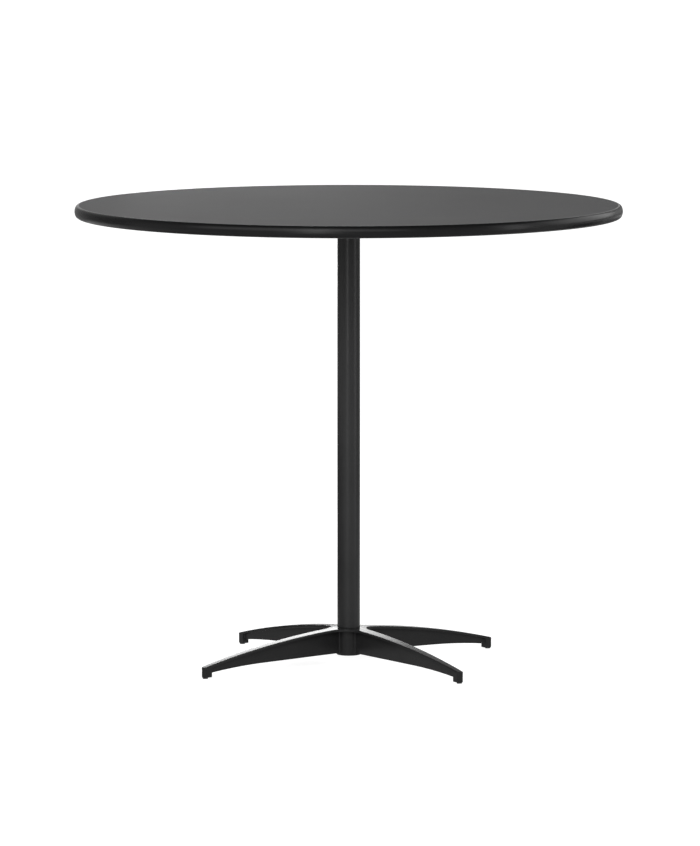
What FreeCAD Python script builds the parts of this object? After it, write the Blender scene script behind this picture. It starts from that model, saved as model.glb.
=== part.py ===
import FreeCAD, Part
import math
import os
import re
import Sketcher

# Pedestal table: a round laminated top, a slim steel column and a cast base with four arched arms.
# Lengths are in millimetres. The origin is on the floor under the column, +Z is up, -Y is the front.

# Driving sizes: name, value, what it measures
SIZES = [
    # Whole table
    ("table_height", 772, "floor to the top of the laminate"),
    ("top_diameter", 914.4, "across the round edge of the top"),
    # Layers of the top
    ("laminate_thickness", 0.9, "decorative sheet on the board"),
    ("core_thickness", 18.5, "board between the two sheets"),
    ("backer_thickness", 0.6, "balancing sheet under the board"),
    # Edge moulding
    ("edge_nose_depth", 6.6, "how far the round nose stands beyond the flat lip"),
    ("edge_corner_share", 0.84, "corner radius of the nose as a share of its depth"),
    ("edge_lip", 0.8, "flat lip of the moulding, level with the laminate"),
    ("tongue_length", 9, "tongue of the moulding, into the board"),
    ("tongue_thickness", 2.2, "thickness of that tongue"),
    ("tongue_clearance", 0.2, "play of the tongue in its slot, on each face and at its end"),
    # Mounting plate and its screws
    ("plate_side", 200, "side of the square plate under the top"),
    ("plate_thickness", 4, "thickness of that plate"),
    ("plate_corner_radius", 18, "round corners of the plate"),
    ("plate_hole_inset", 20, "screw axis to the plate's edges"),
    ("screw_shank_diameter", 4.5, "outside of the screw's thread"),
    ("screw_head_diameter", 9, "pan head of the screw"),
    ("screw_head_height", 3, "height of that head"),
    ("screw_head_round", 1.8, "rounding of the head's lower edge"),
    ("screw_length", 15, "under the head to the point"),
    ("screw_point_length", 4, "tapered point of the screw"),
    ("screw_clearance", 0.15, "play round the shank"),
    # Column and the collar that locates its upper end
    ("column_diameter", 38.1, "outside of the tube"),
    ("column_wall", 1.6, "wall of the tube"),
    ("spigot_clearance", 0.2, "play between a spigot and the tube"),
    ("plate_spigot_length", 30, "collar under the plate"),
    ("plate_spigot_wall", 3, "wall of that collar"),
    # Tie rod and its fasteners
    ("rod_diameter", 10, "rod through the column"),
    ("rod_chamfer", 1, "bevel at the rod's ends"),
    ("rod_clearance", 0.5, "play of the rod in plain holes"),
    ("rod_tip_gap", 1, "rod's upper end to the underside of the top"),
    ("rod_tail", 3, "rod beyond the lower nut"),
    ("rod_cover", 2.5, "rod's lower end to the hub's lower face"),
    ("thread_clearance", 0.1, "play of the rod in its nuts"),
    ("nut_flats", 16, "across the flats of a nut"),
    ("nut_height", 8, "height of a nut"),
    ("washer_diameter", 21, "flat washer in the hub"),
    ("washer_thickness", 2, "thickness of that washer"),
    ("lock_washer_diameter", 18, "spring washer in the hub"),
    ("lock_washer_thickness", 2.5, "thickness of that washer"),
    # Hub of the base
    ("hub_diameter", 42.2, "boss under the crossing of the arms"),
    ("hub_bottom_height", 15.1, "floor to the hub's lower face"),
    ("hub_edge_round", 2.5, "rounding of the hub's lower edge"),
    ("hub_recess_diameter", 26, "recess for the nut, wide enough for a socket"),
    ("hub_spigot_height", 14, "spigot that locates the column's lower end"),
    ("hub_spigot_chamfer", 1.5, "bevel that leads the column onto the spigot"),
    ("seat_height", 62.2, "floor to the column's seat on the hub"),
    ("seat_margin", 1, "flat seat beyond the column's wall"),
    # Arms of the base
    ("arch_radius", 1580, "bow of an arm's top, seen from the side"),
    ("arm_tip_height", 18.8, "floor to the arm's top at its tip"),
    ("arm_root_width", 23.8, "arm's flange where its edges would reach the axis"),
    ("flange_thickness", 4, "flange along the top of an arm"),
    ("flange_overhang", 0.1, "flange beyond the foot, all round"),
    ("flange_edge_round", 1.5, "rounding of the flange's upper edge"),
    ("crotch_radius", 37, "round corner between two arms"),
    ("web_thickness", 4.5, "upright web under the flange"),
    ("web_knee_reach", 180, "axis to the point where the web's lower edge starts to curve down"),
    ("web_knee_height", 16.6, "floor to that point"),
    ("web_rise", 3.1, "rise of the lower edge from that point, carried on to the axis"),
    ("web_foot_height", 9, "floor to the lower edge where it meets the foot"),
    ("cast_round", 2.5, "inside corners where web, flange, hub and foot meet"),
    # Feet and glides
    ("glide_reach", 299, "table's axis to the glide's axis"),
    ("foot_width", 11.8, "foot across the arm, round at its tip"),
    ("foot_heel", 9.5, "glide's axis to the foot's inner face"),
    ("foot_edge_round", 1.2, "rounding of the foot's lower edge"),
    ("pad_diameter", 9.2, "outside of the glide's pad"),
    ("pad_thickness", 1.7, "height of the pad"),
    ("pad_edge", 0.7, "bevel round the sole"),
    ("pad_sole", 0.5, "pad under the stem's head"),
    ("pad_gap", 0.3, "pad to the foot when screwed home"),
    ("stem_diameter", 6, "outside of the stem's thread"),
    ("stem_length", 11, "stem above the pad"),
    ("stem_chamfer", 0.8, "bevel at the stem's upper end"),
    ("stem_head_diameter", 7.4, "head of the stem, moulded into the pad"),
    ("stem_head_height", 0.6, "height of that head"),
    ("stem_clearance", 0.3, "play of the stem in its hole"),
    ("stem_hole_spare", 1.3, "hole beyond the stem's end"),
    # Cuts
    ("overrun", 5, "how far a cut runs past what it cuts"),
]

# Sizes worked out from those: name, formula
FORMULAS = [
    ("top_radius", "top_diameter / 2"),
    ("top_thickness", "laminate_thickness + core_thickness + backer_thickness"),
    ("underside_height", "table_height - top_thickness"),
    ("core_height", "underside_height + backer_thickness"),
    ("laminate_height", "core_height + core_thickness"),
    ("plate_height", "underside_height - plate_thickness"),
    # Edge moulding: a crown arc that runs smoothly into a corner arc above and below
    ("edge_half_height", "top_thickness / 2"),
    ("edge_height", "underside_height + edge_half_height"),
    ("edge_lip_radius", "top_radius - edge_nose_depth"),
    ("core_radius", "edge_lip_radius - edge_lip"),
    ("corner_radius", "edge_nose_depth * edge_corner_share"),
    ("nose_square", "edge_half_height^2 + edge_nose_depth^2 - 2 * edge_half_height * corner_radius"),
    ("crown_radius", "nose_square / (2 * (edge_nose_depth - corner_radius))"),
    ("blend_share", "crown_radius / (crown_radius - corner_radius)"),
    ("blend_reach", "top_radius - crown_radius + (crown_radius - edge_nose_depth) * blend_share"),
    ("blend_height", "(edge_half_height - corner_radius) * blend_share"),
    ("tongue_end", "core_radius - tongue_length"),
    ("slot_end", "tongue_end - tongue_clearance"),
    ("slot_half", "tongue_thickness / 2 + tongue_clearance"),
    # Plate, screws, column and rod
    ("screw_offset", "plate_side / 2 - plate_hole_inset"),
    ("screw_hole", "screw_shank_diameter + 2 * screw_clearance"),
    ("pilot_depth", "screw_length - plate_thickness - backer_thickness + screw_clearance"),
    ("column_bore", "column_diameter - 2 * column_wall"),
    ("column_length", "plate_height - seat_height"),
    ("spigot_diameter", "column_bore - 2 * spigot_clearance"),
    ("plate_spigot_bore", "spigot_diameter - 2 * plate_spigot_wall"),
    ("rod_hole", "rod_diameter + 2 * rod_clearance"),
    ("nut_bore", "rod_diameter + 2 * thread_clearance"),
    ("nut_corner", "nut_flats / sqrt(3)"),
    # Stack in the hub's recess, from the rod's end up
    ("rod_height", "hub_bottom_height + rod_cover"),
    ("hub_nut_height", "rod_height + rod_tail"),
    ("lock_washer_height", "hub_nut_height + nut_height"),
    ("washer_height", "lock_washer_height + lock_washer_thickness"),
    ("recess_top_height", "washer_height + washer_thickness"),
    ("rod_length", "underside_height - rod_tip_gap - rod_height"),
    # Arms: the arc along the top goes through the edge of the column's seat and the arm's tip
    ("seat_radius", "column_diameter / 2 + seat_margin"),
    ("hub_radius", "hub_diameter / 2"),
    ("tip_radius", "foot_width / 2 + flange_overhang"),
    ("tip_reach", "glide_reach + tip_radius"),
    ("trim_reach", "tip_reach + overrun"),
    ("arch_run", "tip_reach - seat_radius"),
    ("arch_drop", "seat_height - arm_tip_height"),
    ("arch_chord", "sqrt(arch_run^2 + arch_drop^2)"),
    ("arch_stand", "sqrt(arch_radius^2 - arch_chord^2 / 4)"),
    ("arch_centre_reach", "(seat_radius + tip_reach) / 2 - arch_stand * arch_drop / arch_chord"),
    ("arch_centre_height", "(seat_height + arm_tip_height) / 2 - arch_stand * arch_run / arch_chord"),
    # Arms in plan: straight edges that run smoothly into the round tip and the round crotch
    ("arm_root_half", "arm_root_width / 2"),
    ("arm_sight", "sqrt(arm_root_half^2 + glide_reach^2)"),
    ("taper_share", "tan(acos(tip_radius / arm_sight) - atan(glide_reach / arm_root_half))"),
    ("taper_length_share", "sqrt(1 + taper_share^2)"),
    ("round_start_reach", "glide_reach + tip_radius * taper_share / taper_length_share"),
    ("round_start_half", "tip_radius / taper_length_share"),
    ("crotch_corner", "arm_root_half / (1 + taper_share)"),
    ("crotch_slope_share", "(1 - taper_share) / (1 + taper_share) / taper_length_share"),
    ("crotch_run", "crotch_radius * crotch_slope_share"),
    ("crotch_far", "crotch_corner + crotch_run"),
    ("crotch_near", "crotch_corner - taper_share * crotch_run"),
    ("gap_reach", "trim_reach + overrun"),
    ("gap_edge", "arm_root_half - taper_share * gap_reach"),
    # Web: its lower edge is straight from the hub to the knee, then an arc that bends down to the foot
    ("web_start", "(hub_radius + hub_recess_diameter / 2) / 2"),
    ("web_slope_share", "web_rise / web_knee_reach"),
    ("web_start_height", "web_knee_height + web_slope_share * (web_knee_reach - web_start)"),
    ("foot_inner_reach", "glide_reach - foot_heel"),
    ("web_curve_run", "foot_inner_reach - web_knee_reach"),
    ("web_curve_drop", "web_knee_height - web_foot_height"),
    ("web_curve_chord_square", "web_curve_run^2 + web_curve_drop^2"),
    ("web_curve_sag", "(web_curve_drop - web_slope_share * web_curve_run) / sqrt(1 + web_slope_share^2)"),
    ("web_curve_radius", "web_curve_chord_square / (2 * web_curve_sag)"),
    # Feet and glides
    ("foot_bottom_height", "pad_thickness + pad_gap"),
    ("stem_hole", "stem_diameter + 2 * stem_clearance"),
    ("stem_hole_depth", "stem_length + stem_hole_spare - pad_gap"),
    ("stem_head_top", "pad_sole + stem_head_height"),
    ("stem_top", "pad_thickness + stem_length"),
]

ARMS = 4
ARM_TURN = 45
HEX_TURN = 60
FULL_TURN = 360
LEFT = 1
RIGHT = -1
TINY = 1e-6
NEAR = 1e-3

# Feet by name, with the direction of each arm in degrees from +X
FEET = {"front_left": 225, "front_right": 315, "back_left": 135, "back_right": 45}

doc = FreeCAD.newDocument("pedestal_table")
sheet = doc.addObject("Spreadsheet::Sheet", "sizes")
work = doc.addObject("Spreadsheet::Sheet", "work")
NAMES = {name for name, *rest in SIZES + FORMULAS}


def fill_sheet():
    """Write each size into a row of its own: name, value or formula, note."""
    rows = [(name, str(value), note) for name, value, note in SIZES]
    rows += [(name, "=" + formula, "") for name, formula in FORMULAS]
    for row, (name, content, note) in enumerate(rows, start=1):
        sheet.set(f"A{row}", name)
        sheet.set(f"B{row}", content)
        sheet.setAlias(f"B{row}", name)
        sheet.set(f"C{row}", note)
    doc.recompute()


def linked(formula):
    """The formula with each size's name pointing to its cell in the sheet."""
    return re.sub(r"[a-z][a-z_]+", lambda word: "sizes." * (word[0] in NAMES) + word[0], formula)


def number(formula):
    """Present value of a formula in sizes, worked out in a cell of the working sheet."""
    work.set("A1", "=" + linked(formula))
    work.recompute()
    return float(work.get("A1"))


def arch(reach, depth="0"):
    """Height of an arm's top at a distance from the axis, or of the arc that lies that depth inside it."""
    return f"arch_centre_height + sqrt((arch_radius - {depth})^2 - ({reach} - arch_centre_reach)^2)"


def new_body(label, height="0"):
    """An empty body with its own name, its origin at the given height on the table's axis."""
    body = doc.addObject("PartDesign::Body", label)
    body.Label = label
    body.setExpression("Placement.Base.z", linked(height))
    return body


def origin_feature(body, role):
    """A body's own plane or axis."""
    return next(feature for feature in body.Origin.OriginFeatures if feature.Role == role)


def new_sketch(body, role, name, offsets={}):
    """An empty sketch on one of the body's planes, moved by formulas along the sketch's own axes."""
    sketch = body.newObject("Sketcher::SketchObject", f"{body.Name}_{name}")
    sketch.AttachmentSupport = [(origin_feature(body, role), "")]
    sketch.MapMode = "FlatFace"
    for axis, formula in offsets.items():
        sketch.setExpression(f"AttachmentOffset.Base.{axis}", linked(formula))
    return sketch


def dimension(sketch, formula, kind, *ends):
    """A dimension in a sketch that follows a formula."""
    index = sketch.addConstraint(Sketcher.Constraint(kind, *ends, number(formula)))
    sketch.setExpression(f"Constraints[{index}]", linked(formula))


def pin(sketch, place, corner):
    """Tie a point of a sketch to two formulas, or to an axis where a formula gives zero."""
    for kind, axis, formula in (("DistanceX", -2, corner[0]), ("DistanceY", -1, corner[1])):
        if abs(number(formula)) < TINY:
            sketch.addConstraint(Sketcher.Constraint("PointOnObject", *place, axis))
        else:
            dimension(sketch, formula, kind, -1, 1, *place)


def circle(sketch, diameter, centre=("0", "0")):
    """A circle with its diameter and its centre tied to formulas."""
    middle = FreeCAD.Vector(number(centre[0]), number(centre[1]), 0)
    geometry = sketch.addGeometry(Part.Circle(middle, FreeCAD.Vector(0, 0, 1), number(diameter) / 2))
    pin(sketch, (geometry, 3), centre)
    dimension(sketch, diameter, "Diameter", geometry)


def draw_line(sketch, start, end):
    """A straight edge; gives its first and last point."""
    geometry = sketch.addGeometry(Part.LineSegment(start, end))
    return (geometry, 1), (geometry, 2)


def draw_arc(sketch, start, end, radius, turn):
    """The shorter arc from start to end, bending left or right; gives its first and last point."""
    chord = end - start
    across = FreeCAD.Vector(-chord.y, chord.x, 0).normalize() * turn
    stand = math.sqrt(max(number(radius) ** 2 - chord.Length ** 2 / 4, 0))
    middle = (start + end) / 2 + across * stand
    angles = [math.atan2(tip.y - middle.y, tip.x - middle.x) for tip in (start, end)][::turn]
    full = Part.Circle(middle, FreeCAD.Vector(0, 0, 1), number(radius))
    geometry = sketch.addGeometry(Part.ArcOfCircle(full, *angles))
    dimension(sketch, radius, "Radius", geometry)
    return ((geometry, 1), (geometry, 2))[::turn]


def outline(sketch, corners, arcs={}):
    """A closed outline through corners given by formulas; arcs holds (radius, turn) by edge number."""
    points = [FreeCAD.Vector(number(x), number(y), 0) for x, y in corners]
    edges = []
    for edge, (start, end) in enumerate(zip(points, points[1:] + points[:1])):
        if edge in arcs:
            edges.append(draw_arc(sketch, start, end, *arcs[edge]))
        else:
            edges.append(draw_line(sketch, start, end))
    for edge, corner in enumerate(corners):
        sketch.addConstraint(Sketcher.Constraint("Coincident", *edges[edge - 1][1], *edges[edge][0]))
        pin(sketch, edges[edge][0], corner)


def pad(body, sketch, length, both_ways=False):
    """Raise a sketch along its normal, or to both sides of its plane."""
    feature = body.newObject("PartDesign::Pad", f"{sketch.Name}_pad")
    feature.Profile = sketch
    feature.SideType = "Symmetric" if both_ways else "One side"
    feature.setExpression("Length", linked(length))
    doc.recompute()
    return feature


def must_cut(body, feature, before):
    """Stop if a cut took nothing away."""
    doc.recompute()
    if not feature.Shape.Volume < before:
        raise RuntimeError(f"{feature.Name} cuts nothing from {body.Label}")
    return feature


def pocket(body, sketch, depth):
    """Cut a sketch into the body along the sketch's normal."""
    before = body.Shape.Volume
    feature = body.newObject("PartDesign::Pocket", f"{sketch.Name}_pocket")
    feature.Profile = sketch
    feature.Reversed = True
    feature.setExpression("Length", linked(depth))
    return must_cut(body, feature, before)


def turned(body, sketch):
    """A solid of revolution about the sketch's upright axis."""
    feature = body.newObject("PartDesign::Revolution", f"{sketch.Name}_turned")
    feature.Profile = sketch
    feature.ReferenceAxis = (sketch, ["V_Axis"])
    feature.Angle = FULL_TURN
    doc.recompute()
    return feature


def groove(body, sketch):
    """Cut a sketch out of the body all round its upright axis."""
    before = body.Shape.Volume
    feature = body.newObject("PartDesign::Groove", f"{sketch.Name}_groove")
    feature.Profile = sketch
    feature.ReferenceAxis = (sketch, ["V_Axis"])
    feature.Angle = FULL_TURN
    return must_cut(body, feature, before)


def around(body, *features):
    """Repeat features four times round the body's upright axis."""
    pattern = body.newObject("PartDesign::PolarPattern", f"{features[0].Name}_around")
    pattern.Originals = list(features)
    pattern.Axis = (origin_feature(body, "Z_Axis"), [""])
    pattern.Angle = FULL_TURN
    pattern.Occurrences = ARMS
    body.Tip = pattern
    doc.recompute()
    return pattern


def fillet(body, radius, chosen):
    """Round the edges of the body for which chosen(edge) is true."""
    base = body.Tip
    names = [f"Edge{index}" for index, edge in enumerate(base.Shape.Edges, start=1) if chosen(edge)]
    feature = body.newObject("PartDesign::Fillet", f"{body.Name}_{radius}")
    feature.Base = (base, names)
    feature.setExpression("Radius", linked(radius))
    doc.recompute()
    return feature


def ring(label, height, length, outer, inner=None):
    """A disc, or a ring where an inner diameter is given, standing on the given height."""
    body = new_body(label, height)
    sketch = new_sketch(body, "XY_Plane", "plan")
    circle(sketch, outer)
    if inner:
        circle(sketch, inner)
    pad(body, sketch, length)
    return body


def spun(label, height, corners, arcs={}):
    """A piece turned about its own axis from a half section given as (radius, height) corners."""
    body = new_body(label, height)
    sketch = new_sketch(body, "XZ_Plane", "section")
    outline(sketch, corners, arcs)
    turned(body, sketch)
    return body


def screw_holes(body, depth):
    """Four holes for the plate's screws, from the body's lower face up."""
    sketch = new_sketch(body, "XY_Plane", "screw_hole")
    circle(sketch, "screw_hole", ("screw_offset", "screw_offset"))
    around(body, pocket(body, sketch, depth))


def make_top():
    """Board with its slot and pilot holes, the sheets on both its faces and the moulding round it."""
    core = ring("top_core", "core_height", "core_thickness", "2 * core_radius")
    slot = new_sketch(core, "XZ_Plane", "slot")
    middle = "edge_half_height - backer_thickness"
    low, high = f"{middle} - slot_half", f"{middle} + slot_half"
    outside = "core_radius + overrun"
    outline(slot, [("slot_end", low), (outside, low), (outside, high), ("slot_end", high)])
    groove(core, slot)
    screw_holes(core, "pilot_depth")
    ring("top_laminate", "laminate_height", "laminate_thickness", "2 * core_radius")
    backer = ring("backer_sheet", "underside_height", "backer_thickness", "2 * core_radius")
    screw_holes(backer, "backer_thickness")
    section = [
        ("core_radius", "edge_half_height"),
        ("edge_lip_radius", "edge_half_height"),
        ("blend_reach", "blend_height"),
        ("blend_reach", "-blend_height"),
        ("edge_lip_radius", "-edge_half_height"),
        ("core_radius", "-edge_half_height"),
        ("core_radius", "-tongue_thickness / 2"),
        ("tongue_end", "-tongue_thickness / 2"),
        ("tongue_end", "tongue_thickness / 2"),
        ("core_radius", "tongue_thickness / 2"),
    ]
    nose = {1: ("corner_radius", RIGHT), 2: ("crown_radius", RIGHT), 3: ("corner_radius", RIGHT)}
    spun("edge_moulding", "edge_height", section, nose)


def make_plate():
    """Square plate under the top with its screws, and the collar and nut that are welded to it."""
    plate = new_body("mounting_plate", "plate_height")
    square = new_sketch(plate, "XY_Plane", "plan")
    low, high = "-plate_side / 2", "plate_side / 2"
    outline(square, [(low, low), (high, low), (high, high), (low, high)])
    pad(plate, square, "plate_thickness")
    fillet(plate, "plate_corner_radius", lambda edge: abs(edge.tangentAt(edge.FirstParameter).z) > 1 - TINY)
    rod_way = new_sketch(plate, "XY_Plane", "rod_way")
    circle(rod_way, "rod_hole")
    pocket(plate, rod_way, "plate_thickness")
    screw_holes(plate, "plate_thickness")
    screws = new_body("plate_screws", "plate_height")
    section = new_sketch(screws, "XZ_Plane", "section", {"x": "screw_offset", "z": "-screw_offset"})
    corners = [
        ("0", "-screw_head_height"),
        ("screw_head_diameter / 2 - screw_head_round", "-screw_head_height"),
        ("screw_head_diameter / 2", "screw_head_round - screw_head_height"),
        ("screw_head_diameter / 2", "0"),
        ("screw_shank_diameter / 2", "0"),
        ("screw_shank_diameter / 2", "screw_length - screw_point_length"),
        ("0", "screw_length"),
    ]
    outline(section, corners, {1: ("screw_head_round", LEFT)})
    around(screws, turned(screws, section))
    ring(
        "plate_spigot",
        "plate_height - plate_spigot_length",
        "plate_spigot_length",
        "spigot_diameter",
        "plate_spigot_bore",
    )


def make_nut(label, height):
    """Hexagon nut on the rod."""
    body = new_body(label, height)
    plan = new_sketch(body, "XY_Plane", "plan")
    turns = range(0, FULL_TURN, HEX_TURN)
    outline(plan, [(f"nut_corner * cos({turn} deg)", f"nut_corner * sin({turn} deg)") for turn in turns])
    circle(plan, "nut_bore")
    pad(body, plan, "nut_height")


def make_column():
    """Tube, the rod inside it that clamps top and base together, and the rod's nuts and washers."""
    ring("column_tube", "seat_height", "column_length", "column_diameter", "column_bore")
    rod = [
        ("0", "0"),
        ("rod_diameter / 2 - rod_chamfer", "0"),
        ("rod_diameter / 2", "rod_chamfer"),
        ("rod_diameter / 2", "rod_length - rod_chamfer"),
        ("rod_diameter / 2 - rod_chamfer", "rod_length"),
        ("0", "rod_length"),
    ]
    spun("tie_rod", "rod_height", rod)
    make_nut("rod_anchor_nut", "plate_height - nut_height")
    make_nut("hub_nut", "hub_nut_height")
    ring("hub_lock_washer", "lock_washer_height", "lock_washer_thickness", "lock_washer_diameter", "rod_hole")
    ring("hub_washer", "washer_height", "washer_thickness", "washer_diameter", "rod_hole")


def add_hub(base):
    """Hub with its recess, bore and spigot, and the arched disc from which the arms' flanges are cut."""
    section = new_sketch(base, "XZ_Plane", "hub")
    corners = [
        ("hub_recess_diameter / 2", "hub_bottom_height"),
        ("hub_radius - hub_edge_round", "hub_bottom_height"),
        ("hub_radius", "hub_bottom_height + hub_edge_round"),
        ("hub_radius", arch("hub_radius", "flange_thickness")),
        ("trim_reach", arch("trim_reach", "flange_thickness")),
        ("trim_reach", arch("trim_reach")),
        ("seat_radius", "seat_height"),
        ("spigot_diameter / 2", "seat_height"),
        ("spigot_diameter / 2", "seat_height + hub_spigot_height - hub_spigot_chamfer"),
        ("spigot_diameter / 2 - hub_spigot_chamfer", "seat_height + hub_spigot_height"),
        ("rod_hole / 2", "seat_height + hub_spigot_height"),
        ("rod_hole / 2", "recess_top_height"),
        ("hub_recess_diameter / 2", "recess_top_height"),
    ]
    arcs = {
        1: ("hub_edge_round", LEFT),
        3: ("arch_radius - flange_thickness", RIGHT),
        5: ("arch_radius", LEFT),
    }
    outline(section, corners, arcs)
    turned(base, section)


def cut_arms(base):
    """Cut the gaps between the arms out of the arched disc, each with a round crotch."""
    gap = new_sketch(base, "XY_Plane", "gap")
    corners = [
        ("crotch_far", "crotch_near"),
        ("gap_reach", "gap_edge"),
        ("gap_reach", "gap_reach"),
        ("gap_edge", "gap_reach"),
        ("crotch_near", "crotch_far"),
    ]
    outline(gap, corners, {4: ("crotch_radius", LEFT)})
    around(base, pocket(base, gap, "seat_height"))


def add_webs(base):
    """Upright web under each flange, and the foot at its end: a round boss with a heel towards the hub."""
    web = new_sketch(base, "XZ_Plane", "web")
    middle = "flange_thickness / 2"
    corners = [
        ("web_start", "web_start_height"),
        ("web_knee_reach", "web_knee_height"),
        ("foot_inner_reach", "web_foot_height"),
        ("glide_reach", "web_foot_height"),
        ("glide_reach", arch("glide_reach", middle)),
        ("web_start", arch("web_start", middle)),
    ]
    arcs = {1: ("web_curve_radius", RIGHT), 4: (f"arch_radius - {middle}", LEFT)}
    outline(web, corners, arcs)
    heel = new_sketch(base, "XZ_Plane", "heel")
    corners = [
        ("foot_inner_reach", "foot_bottom_height"),
        ("glide_reach", "foot_bottom_height"),
        ("glide_reach", arch("glide_reach", middle)),
        ("foot_inner_reach", arch("foot_inner_reach", middle)),
    ]
    outline(heel, corners, {2: (f"arch_radius - {middle}", LEFT)})
    boss = new_sketch(base, "XY_Plane", "boss", {"z": "foot_bottom_height"})
    circle(boss, "foot_width", ("glide_reach", "0"))
    webs = pad(base, web, "web_thickness", both_ways=True)
    heels = pad(base, heel, "foot_width", both_ways=True)
    bosses = pad(base, boss, arch("glide_reach", middle) + " - foot_bottom_height")
    around(base, webs, heels, bosses)


def finish_feet(base):
    """Round the tip of each flange about its glide and sink the glide's hole into the foot."""
    tip = new_sketch(base, "XY_Plane", "tip")
    corners = [
        ("round_start_reach", "-2 * tip_radius"),
        ("gap_reach", "-2 * tip_radius"),
        ("gap_reach", "2 * tip_radius"),
        ("round_start_reach", "2 * tip_radius"),
        ("round_start_reach", "round_start_half"),
        ("tip_reach", "0"),
        ("round_start_reach", "-round_start_half"),
    ]
    outline(tip, corners, {4: ("tip_radius", RIGHT), 5: ("tip_radius", RIGHT)})
    around(base, pocket(base, tip, "seat_height"))
    hole = new_sketch(base, "XY_Plane", "glide_hole", {"z": "foot_bottom_height"})
    circle(hole, "stem_hole", ("glide_reach", "0"))
    around(base, pocket(base, hole, "stem_hole_depth"))


def edge_points(edge):
    """First, middle and last point of an edge."""
    first, last = edge.ParameterRange
    return [edge.valueAt(place) for place in (first, (first + last) / 2, last)]


def below_arch(point):
    """How far a point of the casting lies under the top of an arm at the same distance from the axis."""
    return number(arch(str(math.hypot(point.x, point.y)))) - point.z


def on_flange_rim(edge):
    """True for the upper edges along the outline of the arms, outside the column's seat."""
    points = edge_points(edge)
    nearest = min(math.hypot(point.x, point.y) for point in points)
    deepest = max(abs(below_arch(point)) for point in points)
    return nearest > number("seat_radius") + TINY and deepest < number("flange_thickness") / 4


def in_cast_corner(edge):
    """True where a web meets its flange, foot or the hub, and where the hub or a foot meets a flange."""
    points = edge_points(edge)
    side = number("web_thickness") / 2
    on_web = all(abs(min(abs(point.x), abs(point.y)) - side) < NEAR for point in points)
    on_hub = all(abs(math.hypot(point.x, point.y) - number("hub_radius")) < NEAR for point in points)
    inner = number("foot_inner_reach")
    on_foot = all(abs(max(abs(point.x), abs(point.y)) - inner) < NEAR for point in points)
    middle = points[1]
    under_flange = abs(below_arch(middle) - number("flange_thickness")) < number("flange_thickness") / 4
    return (on_web or on_hub or on_foot) and under_flange or on_web and (on_hub or on_foot)


def on_foot_sole(edge):
    """True for the lower edges round a foot, without the glide's hole."""
    points = edge_points(edge)
    level = all(abs(point.z - number("foot_bottom_height")) < NEAR for point in points)
    along, across = sorted((abs(points[1].x), abs(points[1].y)), reverse=True)
    from_glide = math.hypot(along - number("glide_reach"), across)
    return level and from_glide > number("stem_hole") / 2 + NEAR


def make_base():
    """One casting: hub, four T-section arms and four feet; its arms lie on the diagonals of the table."""
    base = new_body("base_casting")
    base.Placement.Rotation = FreeCAD.Rotation(FreeCAD.Vector(0, 0, 1), ARM_TURN)
    add_hub(base)
    cut_arms(base)
    add_webs(base)
    finish_feet(base)
    fillet(base, "cast_round", in_cast_corner)
    fillet(base, "foot_edge_round", on_foot_sole)
    fillet(base, "flange_edge_round", on_flange_rim)


def make_glides():
    """Under each foot a threaded stem with a flat head, and the pad that is moulded round the head."""
    pad_section = [
        ("0", "0"),
        ("pad_diameter / 2 - pad_edge", "0"),
        ("pad_diameter / 2", "pad_edge"),
        ("pad_diameter / 2", "pad_thickness"),
        ("stem_diameter / 2", "pad_thickness"),
        ("stem_diameter / 2", "stem_head_top"),
        ("stem_head_diameter / 2", "stem_head_top"),
        ("stem_head_diameter / 2", "pad_sole"),
        ("0", "pad_sole"),
    ]
    stem_section = [
        ("0", "pad_sole"),
        ("stem_head_diameter / 2", "pad_sole"),
        ("stem_head_diameter / 2", "stem_head_top"),
        ("stem_diameter / 2", "stem_head_top"),
        ("stem_diameter / 2", "stem_top - stem_chamfer"),
        ("stem_diameter / 2 - stem_chamfer", "stem_top"),
        ("0", "stem_top"),
    ]
    for foot, turn in FEET.items():
        for part, section in (("glide_pad", pad_section), ("glide_stem", stem_section)):
            body = spun(f"{foot}_{part}", "0", section)
            body.setExpression("Placement.Base.x", linked(f"glide_reach * cos({turn} deg)"))
            body.setExpression("Placement.Base.y", linked(f"glide_reach * sin({turn} deg)"))


def check_and_write():
    """Stop at any failed object or bad solid, then write every piece to a file under its own name."""
    doc.recompute()
    for item in doc.Objects:
        if {"Invalid", "Error"} & set(item.State):
            raise RuntimeError(f"{item.Name} failed: {item.State}")
    bodies = [item for item in doc.Objects if item.TypeId == "PartDesign::Body"]
    for body in bodies:
        if body.Shape.isNull() or not body.Shape.isValid() or not body.Shape.Solids:
            raise RuntimeError(f"{body.Label} has no valid solid")
    os.makedirs("parts", exist_ok=True)
    for body in bodies:
        body.Shape.exportStep(f"parts/{body.Label}.step")
        box = body.Shape.BoundBox
        print(body.Label, len(body.Shape.Solids), "solid", f"z {box.ZMin:.2f} to {box.ZMax:.2f}")


fill_sheet()
make_top()
make_plate()
make_column()
make_base()
make_glides()
check_and_write()
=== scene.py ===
"""Looks of a round pedestal table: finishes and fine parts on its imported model, and its stage."""

import math
from collections import namedtuple

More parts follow.
